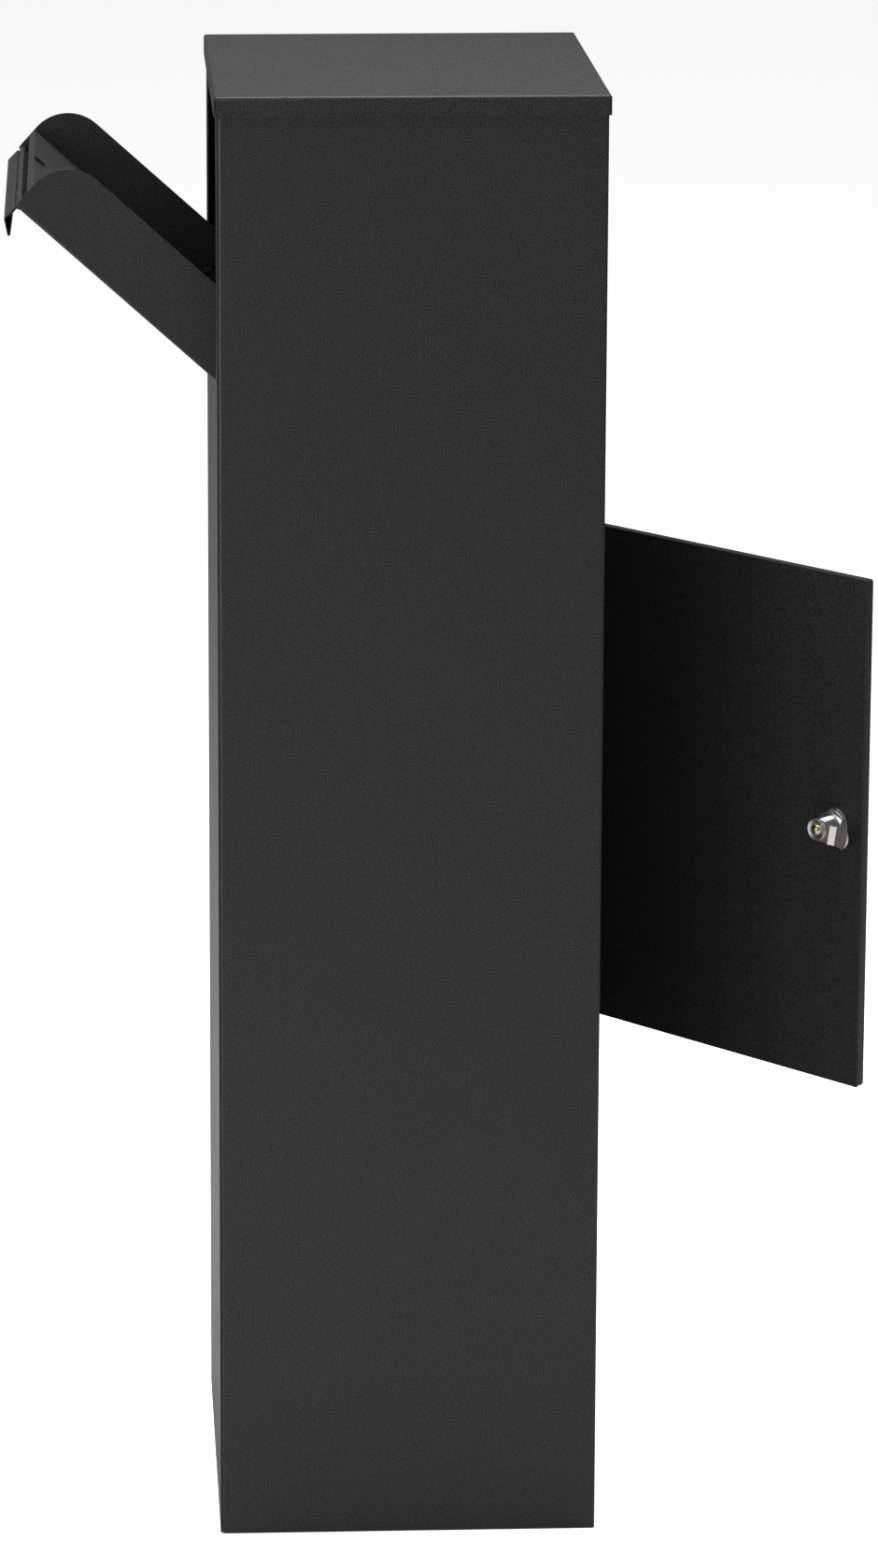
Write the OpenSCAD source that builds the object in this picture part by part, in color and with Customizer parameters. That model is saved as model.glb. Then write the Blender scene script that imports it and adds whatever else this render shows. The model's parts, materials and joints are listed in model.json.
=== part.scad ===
// Free-standing parcel drop box in folded sheet steel: a tilting hopper with a letter flap on
// the front, a lockable collection door on the back. Millimetres, +Z up, front towards -Y.
// The origin is the centre of the base, on the ground. Drawn with hopper and door open.

/* [Body] */
// Width across the side panels
body_w = 360; // [340:1:380]
// Depth from front panel to rear returns
body_d = 315; // [300:1:340]
// Height to the top of the cap
body_h = 1220; // [1200:1:1260]
// Thickness of the folded sheet
sheet = 1.5; // [1.2:0.1:1.6]

/* [Cap] */
// How far the cap stands out past the body on every side
cap_over = 2; // [1.5:0.1:3]
// Height of the cap's turned-down lip
cap_lip = 16.5; // [15:0.5:20]

/* [Hopper] */
// Angle that the hopper stands open
hopper_open = 48; // [0:1:48]
// Height of the hopper's hinge pin above the ground
hopper_z = 984; // [984:1:990]
// Width over the hopper's side wings
hopper_w = 300; // [290:1:300]
// Depth of the side wings
wing_d = 59.3; // [55:0.1:60]
// Height of the wings above the hinge pin
wing_h = 218; // [212:0.5:218]

/* [Flap] */
// Height of the letter slot
slot_h = 14; // [10:1:14]

/* [Door] */
// Angle that the rear door stands open
door_open = 43; // [0:1:110]
// Thickness of the hollow door
door_t = 10.5; // [10:0.5:12]
// Height of the door's lower edge
door_z0 = 354; // [354]
// Height of the door's upper edge
door_z1 = 796; // [796]

/* [Lock] */
// How far the cam is turned down from level
cam_turn = 10; // [0:1:10]
// Length of the cam from the lock's axis
cam_len = 30.5; // [28:0.5:30.5]

/* [Hidden] */
$fn = 64;

hx = body_w / 2;
hy = body_d / 2;
gap = 0.1;                         // clear air between sheets that are welded face to face
bend = 2.5;                        // outer radius of a fold in the sheet
web_in = hx - sheet;               // inner face of a side panel
front_back = -hy + sheet;          // back face of the front panel
cap_z = body_h - cap_lip;          // lower edge of the cap's lip
under_cap = body_h - sheet - 0.2;  // top of the panels, just under the cap
rear_return = 8.5;                 // width of the side panels' rear returns
front_return = 18;

coat = "#2c2c2d";                  // black powder coat
zinc = "#b9bcc0";                  // bright zinc plate
nickel = "#d4d6d8";                // nickel plate
yellow_zinc = "#c2b070";           // yellow-passivated zinc
rubber = "#18181a";

// Hopper: measured up from its pin (u) and back from its outer face (v)
hop_y = -hy + bend;                // the pin lies one barrel radius behind the front face
wing_r = 36;                       // radius of the wing's top corner
floor_v = 20.5;                    // inner face of the hopper's floor
floor_u0 = 76;
hop_pitch = 29.4;
knuckles = 10;
knuckle_gap = 0.8;
barrel_r = 2.5;
pin_r = 1.2;
run = 0.05;                        // running clearance on a pin
leaf_t = 1.1;
aperture_x = hopper_w / 2 + 1.5;
aperture_z0 = hopper_z - 3;
aperture_z1 = cap_z + 1.5;
skin_u0 = 3;

// Letter flap: its pin, in the same u and v
flap_u = wing_h - 3.5;
flap_v = 1.4;
flap_sheet = 1;
skin_u1 = flap_u - 2.9;
slot_u1 = skin_u1 - 7.5;
slot_w = 240;

// Stop bars
bar_start = [12.8, 66.9];          // [v, u] of the bar's upper end on its centre line
bar_len = 52;
bar_w = 18;
bar_t = 1.4;
bar_slope = 19.3;                  // angle of the bar to the hopper's front, in degrees
stud_at = [33.3, 24];              // [v, u] of the stop stud
stud_r = 2.5;

// Door
pin_x = -hx + 4.6;
pin_y = hy + 0.5;
door_barrel_r = 3;
door_pin_r = 1.4;
door_knuckles = 14;
door_x0 = pin_x + 3.1;
door_x1 = hx - 10.5;
door_in = hy - door_t;             // inner face of the shut door
door_gap = 2;
frame_y = door_in - 3.1;           // front face of the door frame's stop flange
door_pitch = (door_z1 - door_z0 - 4) / door_knuckles;

// Cam lock on the shut door
lock_x = 139.5;
lock_z = 580;
thread_r = 9.5;
plug_r = 6.5;
nut_flats = 25;
hub_y = 126;                       // door-side face of the cam's hub
cam_tip_y = 129;                   // door-side face of the cam's tip
cam_t = 2.2;
cam_w = 17;
tang = 7;                          // side of the plug's square tang

// Moves the shut hopper to where it stands open
module on_hopper() {
    translate([0, hop_y, hopper_z])
        rotate([hopper_open, 0, 0])
            translate([0, -hop_y, -hopper_z])
                children();
}

// Moves the shut door to where it stands open
module on_door() {
    translate([pin_x, pin_y, 0])
        rotate([0, 0, door_open])
            translate([-pin_x, -pin_y, 0])
                children();
}

// Turns the cam down about the lock's axis
module on_cam() {
    on_door()
        translate([lock_x, 0, lock_z])
            rotate([0, cam_turn, 0])
                children();
}

// A box given by its two corners
module block(a, b) {
    translate(a)
        cube(b - a);
}

// A quarter of a folded corner, its centre at the origin, filling the +X +Y quadrant
module fold(r = bend, t = sheet) {
    intersection() {
        difference() {
            circle(r);
            circle(r - t);
        }
        square(r);
    }
}

// A flat strip in 2D from p to q, with round ends
module strip(p, q, t) {
    d = q - p;
    translate(p)
        rotate(atan2(d[1], d[0]))
            translate([0, -t / 2])
                square([norm(d), t]);
    translate(p)
        circle(d = t);
    translate(q)
        circle(d = t);
}

// Extrudes a shape drawn in [y, z] along X, centred
module along_x(len) {
    rotate([90, 0, 90])
        linear_extrude(len, center = true)
            children();
}

// One half of a continuous hinge along X, its pin at the origin and its leaf towards +Z
module hinge_half(count, pitch, r, bore, first, leaf_y, t, leaf_w, gap = knuckle_gap) {
    half = count * pitch / 2;
    start = r + 0.4;
    difference() {
        union() {
            translate([-half + gap / 2, leaf_y, start])
                cube([2 * half - gap, t, leaf_w - start]);
            for (i = [first : 2 : count - 1]) {
                translate([i * pitch - half + gap / 2, 0, 0])
                    rotate([0, 90, 0])
                        cylinder(r = r, h = pitch - gap);
                translate([i * pitch - half + gap / 2, leaf_y, 0])
                    cube([pitch - gap, t, start + 0.1]);
            }
        }
        rotate([0, 90, 0])
            cylinder(r = bore, h = 2 * half + 2, center = true);
    }
}

// ---- Cabinet ----

// The right-hand side: one sheet folded round at the front and the rear
module side_sheet() {
    front = front_back + gap;
    difference() {
        linear_extrude(under_cap) {
            translate([web_in, front + bend])
                square([sheet, body_d - sheet - gap - 2 * bend]);
            translate([hx - front_return, front])
                square([front_return - bend, sheet]);
            translate([hx - bend, front + bend])
                mirror([0, 1])
                    fold();
            translate([hx - rear_return, hy - sheet])
                square([rear_return - bend, sheet]);
            translate([hx - bend, hy - bend])
                fold();
        }
        children();
    }
}

module side_panel_right() {
    color(coat)
        side_sheet();
}

// The left side's rear return stops above and below the door to make room for the hinge
module side_panel_left() {
    color(coat)
        mirror([1, 0, 0])
            side_sheet()
                block([hx - rear_return - 1, hy - bend, door_z0 - 3], [hx - sheet, hy + 1, door_z1 + 3]);
}

module front_panel() {
    color(coat)
        difference() {
            block([-web_in + 0.3, -hy, 0], [web_in - 0.3, front_back, under_cap]);
            block([-aperture_x, -hy - 1, aperture_z0], [aperture_x, front_back + 1, aperture_z1]);
        }
}

module rear_sheet(z0, z1) {
    x = hx - bend - gap;
    block([-x, hy - 2 * sheet - gap, z0], [x, hy - sheet - gap, z1]);
}

module rear_panel_upper() {
    color(coat)
        rear_sheet(door_z1 + door_gap + sheet + 0.2, under_cap);
}

module rear_panel_lower() {
    color(coat)
        rear_sheet(2, door_z0 - door_gap - sheet - 0.2);
}

// Stop flange all round the rear opening, with lining walls above, below and at the lock side.
// The flange is notched where the cam passes.
module door_frame() {
    x0 = -hx + 2.9;
    x1 = door_x1 + 2.1;
    z0 = door_z0 - door_gap;
    z1 = door_z1 + door_gap;
    y1 = hy - sheet - 0.2;
    color(coat) {
        difference() {
            block([x0, frame_y, z0 - sheet], [x1 + sheet, frame_y + sheet, z1 + sheet]);
            block([-hx + 16, frame_y - 1, z0 + 10], [door_x1 - 2, frame_y + sheet + 1, z1 - 10]);
            block([door_x1 - 3, frame_y - 1, lock_z - 18], [x1, frame_y + sheet + 1, lock_z + 8]);
        }
        block([x0, frame_y, z1], [x1 + sheet, y1, z1 + sheet]);
        block([x0, frame_y, z0 - sheet], [x1 + sheet, y1, z0]);
        block([x1, frame_y, z0 - sheet], [x1 + sheet, y1, z1 + sheet]);
    }
}

// Floor of the box: a shallow tray with four anchor holes
module base_plate() {
    x = web_in - 0.1;
    y = hy - sheet - gap - bend;
    wall = 30;
    anchor_x = 120;
    anchor_y = 100;
    color(coat)
        difference() {
            block([-x, -y, 0], [x, y, wall]);
            block([-x + sheet, -y + sheet, 2], [x - sheet, y - sheet, wall + 1]);
            for (i = [-1, 1], j = [-1, 1])
                translate([i * anchor_x, j * anchor_y, -1])
                    cylinder(r = 6, h = 4);
        }
}

// One lip of the cap along X, drawn for the -Y side: a fold and the turned-down strip
module cap_edge(half, out) {
    rotate([90, 0, 90])
        linear_extrude(2 * half, center = true) {
            translate([-out + bend, body_h - bend])
                mirror([1, 0])
                    fold();
            translate([-out, cap_z])
                square([sheet, cap_lip - bend]);
        }
}

module top_cap() {
    x = hx + cap_over;
    y = hy + cap_over;
    notch = 1.6;
    color(coat) {
        block([-x + bend, -y + bend, body_h - sheet], [x - bend, y - bend, body_h]);
        for (a = [0, 180])
            rotate([0, 0, a])
                cap_edge(x - notch, y);
        for (a = [90, 270])
            rotate([0, 0, a])
                cap_edge(y - notch - 0.3, x);
    }
}

bracket_x = hx - 20;
bracket_y = 95;
bracket_top = body_h - sheet - 0.3;

// Angles welded inside the side panels, to which the cap is bolted
module cap_brackets() {
    color(coat)
        for (i = [-1, 1])
            difference() {
                union() {
                    block([min(i * (web_in - 0.1), i * (hx - 32)), -120, bracket_top - 2],
                          [max(i * (web_in - 0.1), i * (hx - 32)), 120, bracket_top]);
                    block([min(i * (web_in - 0.1), i * (web_in - 2.1)), -120, bracket_top - 22],
                          [max(i * (web_in - 0.1), i * (web_in - 2.1)), 120, bracket_top]);
                }
                for (j = [-1, 1])
                    translate([i * bracket_x, j * bracket_y, bracket_top - 3])
                        cylinder(r = 2.9, h = 4);
            }
}

module cap_studs() {
    color(zinc)
        for (i = [-1, 1], j = [-1, 1])
            translate([i * bracket_x, j * bracket_y, body_h - sheet - 14])
                cylinder(r = 2.5, h = 14);
}

module cap_nuts() {
    color(zinc)
        for (i = [-1, 1], j = [-1, 1])
            translate([i * bracket_x, j * bracket_y, bracket_top - 6.1])
                difference() {
                    cylinder(d = 8 / cos(30), h = 4, $fn = 6);
                    translate([0, 0, -1])
                        cylinder(r = 2.55, h = 6);
                }
}

rail_y = front_back + sheet + 2 * gap;
rail_z = 950;

// Folded rail behind the front panel that carries the hopper hinge
module hinge_rail() {
    x = hx - bend - gap;
    color(coat) {
        block([-x, rail_y, rail_z], [x, rail_y + sheet, aperture_z0 - 2]);
        block([-x, rail_y, rail_z], [x, rail_y + 30, rail_z + sheet]);
    }
}

// Sloping plate below the hopper that keeps hands out and sends parcels to the rear
module security_baffle() {
    x = web_in - 0.2;
    slope = -28.8;
    len = 136;
    flange_y = 8;
    color(coat)
        translate([0, front_back + 4, rail_z - 5])
            rotate([slope, 0, 0]) {
                block([-x, 0, -sheet], [x, len, 0]);
                block([-x, len - sheet, -18], [x, len, 0]);
                for (i = [-1, 1])
                    block([min(i * x, i * (x - sheet)), flange_y, -16],
                          [max(i * x, i * (x - sheet)), len, 0]);
            }
}

module hopper_hinge_fixed_leaf() {
    color(coat)
        translate([0, hop_y, hopper_z])
            mirror([0, 0, 1])
                hinge_half(knuckles, hop_pitch, barrel_r, pin_r + run, 0, -1, leaf_t, 22);
}

module hopper_hinge_pin() {
    color(zinc)
        translate([0, hop_y, hopper_z])
            rotate([0, 90, 0])
                cylinder(r = pin_r, h = knuckles * hop_pitch, center = true);
}

rest_x = hopper_w / 2 - 0.75;
rest_y = -hy + 22;
rest_top = hopper_z + skin_u0 - 1.5;

// Posts on the hinge rail that the wings sit on when the hopper is shut
module hopper_rest_brackets() {
    color(coat)
        for (i = [-1, 1])
            translate([i * rest_x, rest_y, 0]) {
                block([-6, -6, rail_z + sheet], [6, 6, rail_z + 2 * sheet]);
                block([-6, 4.5, rail_z + sheet], [6, 6, rest_top]);
                block([-6, -6, rest_top - sheet], [6, 6, rest_top]);
            }
}

module hopper_rest_pads() {
    color(rubber)
        for (i = [-1, 1])
            translate([i * rest_x, rest_y, rest_top])
                cylinder(r = 5, h = 1.2);
}

// Rubber pads behind the jambs, which the stop studs meet when the hopper is open
module hopper_stop_pads() {
    z = hopper_z + 39;
    color(rubber)
        for (i = [-1, 1])
            translate([i * (aperture_x + 5), front_back, z])
                rotate([-90, 0, 0])
                    cylinder(r = 4.5, h = 1.2);
}

door_mid = (door_z0 + door_z1) / 2;

// Half of the door's hinge in plan: knuckles on Z, leaf towards the inside of the box
module door_hinge_half(first, side) {
    leaf_x = side * door_barrel_r - (side > 0 ? leaf_t : 0);
    leaf_in = side > 0 ? pin_y - door_in : 17;
    half = door_knuckles * door_pitch / 2;
    start = door_barrel_r + 0.4;
    translate([pin_x, pin_y, door_mid])
        difference() {
            union() {
                block([leaf_x, -leaf_in, -half], [leaf_x + leaf_t, -start, half]);
                for (i = [first : 2 : door_knuckles - 1]) {
                    z = i * door_pitch - half + knuckle_gap / 2;
                    translate([0, 0, z])
                        cylinder(r = door_barrel_r, h = door_pitch - knuckle_gap);
                    block([leaf_x, -start - 0.1, z], [leaf_x + leaf_t, 0, z + door_pitch - knuckle_gap]);
                }
            }
            cylinder(r = door_pin_r + run, h = 2 * half + 2, center = true);
        }
}

module door_hinge_fixed_leaf() {
    color(coat)
        door_hinge_half(0, -1);
}

module door_hinge_pin() {
    color(zinc)
        translate([pin_x, pin_y, door_mid])
            cylinder(r = door_pin_r, h = door_knuckles * door_pitch, center = true);
}

// Angle inside the lock-side panel; its tongue catches the cam when that is raised past level
module lock_keeper() {
    y0 = cam_tip_y + 0.4;
    y1 = y0 + 2;
    z0 = lock_z + 5.5;
    z1 = lock_z + 30;
    color(coat) {
        block([hx - 14.8, y0, z0], [web_in - 0.1, y1, z1]);
        block([web_in - 2.1, y0 - 26, z0], [web_in - 0.1, y1, z1]);
    }
}

module door_bumpers() {
    color(rubber)
        for (i = [-1, 1], z = [door_z0 + 4, door_z1 - 4])
            translate([i * 130, frame_y + sheet, z])
                rotate([-90, 0, 0])
                    cylinder(r = 3.5, h = 1.4);
}

// ---- Hopper, drawn shut and then swung open ----

// Side view of a wing in [y, z]: a large top corner that just passes under the cap
module wing_outline() {
    low_r = 22;
    intersection() {
        union() {
            square([wing_d, wing_h - wing_r]);
            square([wing_d - wing_r, wing_h]);
            translate([wing_d - wing_r, wing_h - wing_r])
                circle(wing_r);
        }
        union() {
            translate([0, skin_u0 + low_r])
                square([wing_d, wing_h]);
            translate([0, skin_u0])
                square([wing_d - low_r, wing_h]);
            translate([wing_d - low_r, skin_u0 + low_r])
                circle(low_r);
        }
        square([wing_d, wing_h]);
    }
}

// Plan of the hopper's single folded sheet, at its outer face
module shell_plan() {
    x = hopper_w / 2;
    translate([-x + bend, 0])
        square([hopper_w - 2 * bend, sheet]);
    for (i = [0, 1])
        mirror([i, 0]) {
            translate([x - bend, bend])
                mirror([0, 1])
                    fold();
            translate([x - sheet, bend])
                square([sheet, wing_d]);
        }
}

// Outer front and both wings, folded from one sheet, with the letter slot
module hopper_shell() {
    color(coat)
        on_hopper()
            translate([0, -hy, hopper_z])
                difference() {
                    intersection() {
                        linear_extrude(wing_h)
                            shell_plan();
                        along_x(hopper_w + 2)
                            wing_outline();
                    }
                    block([-hopper_w / 2 + bend, -1, skin_u1], [hopper_w / 2 - bend, sheet + 1, wing_h + 1]);
                    rotate([90, 0, 0])
                        linear_extrude(10, center = true) {
                            translate([-slot_w / 2, slot_u1 - slot_h])
                                square([slot_w, slot_h]);
                            for (i = [-1, 1])
                                translate([i * slot_w / 2, slot_u1 - slot_h / 2])
                                    circle(d = slot_h);
                        }
                    for (i = [-1, 1])
                        translate([i * hopper_w / 2, stud_at[0], stud_at[1]])
                            rotate([0, 90, 0])
                                cylinder(r = stud_r + 0.05, h = 10, center = true);
                }
}

// The tray that a parcel is laid on, with a letter chute left behind it
module hopper_floor() {
    x = hopper_w / 2 - sheet - 0.15;
    t = 1.2;
    top = wing_h - 0.2;
    color(coat)
        on_hopper()
            translate([0, -hy, hopper_z]) {
                along_x(2 * x) {
                    strip([floor_v - t / 2, floor_u0 + t / 2], [floor_v - t / 2, top - t / 2], t);
                    strip([13.5 + t / 2, top - t / 2], [floor_v - t / 2, top - t / 2], t);
                    strip([12.3 + t / 2, floor_u0 + t / 2], [floor_v - t / 2, floor_u0 + t / 2], t);
                }
                block([-1, floor_v - 0.5, top - 11], [1, floor_v + 2.5, top]);
            }
}

module hopper_hinge_moving_leaf() {
    color(coat)
        on_hopper()
            translate([0, hop_y, hopper_z])
                hinge_half(knuckles, hop_pitch, barrel_r, pin_r + run, 1, -1, leaf_t, 22);
}

// Flat bar against the inside of a wing; side is 1 for right and -1 for left
module stop_bar(side) {
    x = side * (hopper_w / 2 - sheet - bar_t / 2 - 0.05);
    color(coat)
        on_hopper()
            translate([x, -hy + bar_start[0], hopper_z + bar_start[1]])
                rotate([bar_slope, 0, 0])
                    difference() {
                        block([-bar_t / 2, -bar_w / 2, -bar_len], [bar_t / 2, bar_w / 2, 0]);
                        for (z = [-8, -43.2])
                            translate([0, 0, z])
                                rotate([0, 90, 0])
                                    cylinder(r = 2.05, h = 5, center = true);
                        translate(stud_in_bar())
                            rotate([0, 90, 0])
                                cylinder(r = stud_r + 0.05, h = 5, center = true);
                    }
}

// Where the stop stud sits, in the bar's own turned frame
function stud_in_bar() =
    let (d = stud_at - bar_start)
    [0, d[0] * cos(bar_slope) + d[1] * sin(bar_slope), d[1] * cos(bar_slope) - d[0] * sin(bar_slope)];

module stop_bar_right() {
    stop_bar(1);
}

module stop_bar_left() {
    stop_bar(-1);
}

// Blind rivets that hold the stop bars to the wings
module stop_bar_rivets() {
    inner = hopper_w / 2 - sheet - bar_t - 0.05;
    color(coat)
        on_hopper()
            for (side = [-1, 1])
                translate([0, -hy + bar_start[0], hopper_z + bar_start[1]])
                    rotate([bar_slope, 0, 0])
                        for (z = [-8, -43.2])
                            translate([side * inner, 0, z])
                                rotate([0, side * 90, 0]) {
                                    cylinder(r = 2, h = bar_t);
                                    translate([0, 0, -1])
                                        cylinder(r1 = 2.4, r2 = 3.4, h = 1);
                                }
}

// Pins that stand out past the wings and stop the hopper behind the jambs
module stop_studs() {
    inner = hopper_w / 2 - sheet - bar_t - 0.8;
    color(zinc)
        on_hopper()
            for (side = [-1, 1])
                translate([side * inner, -hy + stud_at[0], hopper_z + stud_at[1]])
                    rotate([0, side * 90, 0])
                        cylinder(r = stud_r, h = 12);
}

// Puts a shape drawn about the flap's pin on the hopper
module at_flap_pin() {
    on_hopper()
        translate([0, -hy + flap_v, hopper_z + flap_u])
            children();
}

module flap_hinge_fixed_leaf() {
    color(coat)
        at_flap_pin()
            mirror([0, 0, 1])
                hinge_half(knuckles, hop_pitch, barrel_r, pin_r + run, 0, 0.15, leaf_t, 9.3);
}

module flap_hinge_pin() {
    color(zinc)
        at_flap_pin()
            rotate([0, 90, 0])
                cylinder(r = pin_r, h = knuckles * hop_pitch, center = true);
}

// Letter flap: a sheet folded into a hollow three-sided pull, hanging open.
// Its corners are given as [outwards, upwards] from the pin while it hangs.
module mail_flap() {
    t = flap_sheet;
    crest = [-3.4, 2.2];
    nose = [-15.3, 2.6];
    tip = [-25.9, -11.6];
    back = [-9.6, -0.6];
    color(coat)
        at_flap_pin()
            along_x(hopper_w - 4) {
                strip(crest, nose, t);
                strip(nose, tip, t);
                strip(tip, back, t);
            }
}

module flap_hinge_moving_leaf() {
    color(coat)
        at_flap_pin()
            rotate([90, 0, 0])
                hinge_half(knuckles, hop_pitch, barrel_r, pin_r + run, 1, 0.6, 1, 11.5);
}

// ---- Rear door, drawn shut and then swung open ----

module door_outer_skin() {
    x0 = door_x0;
    x1 = door_x1;
    wall_y = door_in + 1.3;
    w = x1 - x0;
    h = door_z1 - door_z0;
    color(coat)
        on_door()
            difference() {
                translate([x0, hy, door_z0])
                    rotate([90, 0, 0])
                        linear_extrude(hy - wall_y) {
                            translate([bend, 0])
                                square([w - 2 * bend, h]);
                            translate([0, bend])
                                square([w, h - 2 * bend]);
                            for (px = [bend, w - bend], pz = [bend, h - bend])
                                translate([px, pz])
                                    circle(bend);
                        }
                block([x0 + sheet, wall_y - 1, door_z0 + sheet], [x1 - sheet, hy - sheet, door_z1 - sheet]);
                translate([lock_x, hy, lock_z])
                    rotate([90, 0, 0])
                        cylinder(r = thread_r + 0.05, h = 10, center = true);
            }
}

module door_inner_panel() {
    color(coat)
        on_door()
            difference() {
                block([door_x0 + 0.1, door_in, door_z0 + 0.1],
                      [door_x1 - 0.1, door_in + 1.2, door_z1 - 0.1]);
                translate([lock_x, door_in, lock_z])
                    rotate([90, 0, 0])
                        cylinder(r = thread_r + 0.05, h = 10, center = true);
            }
}

// Hat-section stiffener inside the hollow door
module door_stiffener() {
    y0 = door_in + 1.3;
    y1 = hy - sheet - 0.1;
    t = 1.2;
    color(zinc)
        on_door()
            translate([-20, 0, 0]) {
                block([-30, y1 - t, door_z0 + 20], [30, y1, door_z1 - 20]);
                for (i = [-1, 1]) {
                    block([min(i * 30, i * (30 - t)), y0, door_z0 + 20],
                          [max(i * 30, i * (30 - t)), y1, door_z1 - 20]);
                    block([min(i * 42, i * (30 - t)), y0, door_z0 + 20],
                          [max(i * 42, i * (30 - t)), y0 + t, door_z1 - 20]);
                }
            }
}

module door_hinge_moving_leaf() {
    color(coat)
        on_door()
            door_hinge_half(1, 1);
}

// Puts a shape drawn about the lock's axis on the door: its Z runs into the box
module on_lock(y) {
    on_door()
        translate([lock_x, y, lock_z])
            rotate([90, 0, 0])
                children();
}

// Threaded barrel with a round face outside the door
module lock_body() {
    face = 2.5;
    len = hy + face - hub_y - 0.2;
    color(nickel)
        on_lock(hy + face)
            difference() {
                union() {
                    cylinder(r1 = 11, r2 = 12, h = face);
                    cylinder(r = thread_r, h = len);
                }
                translate([0, 0, -1])
                    cylinder(r = plug_r + run, h = len + 2);
            }
}

module lock_washer() {
    color(zinc)
        on_lock(door_in)
            difference() {
                cylinder(r = 14.6, h = 1);
                translate([0, 0, -1])
                    cylinder(r = thread_r + 0.1, h = 3);
            }
}

module lock_nut() {
    color(nickel)
        on_lock(door_in - 1)
            difference() {
                rotate(30)
                    cylinder(d = nut_flats / cos(30), h = 6, $fn = 6);
                translate([0, 0, -1])
                    cylinder(r = thread_r + 0.05, h = 8);
            }
}

// Key cylinder with a square tang; the keyway is cut in its outer end
module lock_plug() {
    top = hy + 2.2;
    color(nickel)
        on_cam()
            difference() {
                union() {
                    translate([0, top, 0])
                        rotate([90, 0, 0])
                            cylinder(r = plug_r, h = top - hub_y);
                    block([-tang / 2, hub_y - cam_t - 0.2, -tang / 2], [tang / 2, hub_y, tang / 2]);
                }
                block([-1, top - 5, -4], [1, top + 1, 4]);
                translate([0, hub_y + 8, 0])
                    rotate([90, 0, 0])
                        cylinder(r = 1.75, h = 20);
            }
}

// Cranked cam: a hub on the tang and an arm with a bowed end, set nearer the door
module lock_cam() {
    hub_r = 9;
    far = hub_y - cam_t;
    tip_far = cam_tip_y - cam_t;
    bend0 = 14;
    bend1 = 18.5;
    end_r = 13;
    color(nickel)
        on_cam()
            difference() {
                intersection() {
                    union() {
                        translate([0, hub_y, 0])
                            rotate([90, 0, 0])
                                cylinder(r = hub_r, h = cam_t);
                        translate([0, 0, -cam_w / 2])
                            linear_extrude(cam_w)
                                polygon([
                                    [0, far], [bend0, far], [bend1, tip_far], [cam_len, tip_far],
                                    [cam_len, cam_tip_y], [bend1 - 1.5, cam_tip_y],
                                    [bend0 - 1.5, hub_y], [0, hub_y]
                                ]);
                    }
                    union() {
                        translate([0, 200, 0])
                            rotate([90, 0, 0])
                                cylinder(r = hub_r, h = 200);
                        block([0, 0, -cam_w / 2], [cam_len - end_r, 200, cam_w / 2]);
                        intersection() {
                            block([0, 0, -cam_w / 2], [cam_len, 200, cam_w / 2]);
                            translate([cam_len - end_r, 200, 0])
                                rotate([90, 0, 0])
                                    cylinder(r = end_r, h = 200);
                        }
                    }
                }
                block([-tang / 2 - 0.05, far - 1, -tang / 2 - 0.05],
                      [tang / 2 + 0.05, hub_y + 1, tang / 2 + 0.05]);
            }
}

module cam_washer() {
    y = hub_y - cam_t - 0.2;
    color(zinc)
        on_cam()
            translate([0, y, 0])
                rotate([90, 0, 0])
                    difference() {
                        cylinder(r = 9.2, h = 1.2);
                        translate([0, 0, -1])
                            cylinder(r = 1.8, h = 4);
                    }
}

// Cross-head screw that clamps the cam to the plug
module cam_screw() {
    y = hub_y - cam_t - 1.4;
    head_h = 2.6;
    color(yellow_zinc)
        on_cam()
            translate([0, y, 0])
                rotate([90, 0, 0])
                    difference() {
                        union() {
                            intersection() {
                                cylinder(r = 4.2, h = head_h);
                                translate([0, 0, head_h - 5.2])
                                    sphere(5.2);
                            }
                            translate([0, 0, -9])
                                cylinder(r = 1.7, h = 10);
                        }
                        for (a = [0, 90])
                            rotate(a)
                                block([-2.1, -0.4, head_h - 1.4], [2.1, 0.4, head_h + 1]);
                    }
}

side_panel_right();
side_panel_left();
front_panel();
rear_panel_upper();
rear_panel_lower();
door_frame();
base_plate();
top_cap();
cap_brackets();
cap_studs();
cap_nuts();
hinge_rail();
security_baffle();
hopper_hinge_fixed_leaf();
hopper_hinge_pin();
hopper_rest_brackets();
hopper_rest_pads();
hopper_stop_pads();
door_hinge_fixed_leaf();
door_hinge_pin();
lock_keeper();
door_bumpers();
hopper_shell();
hopper_floor();
hopper_hinge_moving_leaf();
stop_bar_right();
stop_bar_left();
stop_bar_rivets();
stop_studs();
flap_hinge_fixed_leaf();
flap_hinge_pin();
mail_flap();
flap_hinge_moving_leaf();
door_outer_skin();
door_inner_panel();
door_stiffener();
door_hinge_moving_leaf();
lock_body();
lock_washer();
lock_nut();
lock_plug();
lock_cam();
cam_washer();
cam_screw();
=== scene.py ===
# A free-standing parcel drop box in black powder-coated steel, standing with its front hopper,
# letter flap and rear door open. Metres, +Z up, the hopper towards -Y and the door towards +Y.
import json
import math

import bmesh
import bpy
from mathutils import Matrix, Vector


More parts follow.
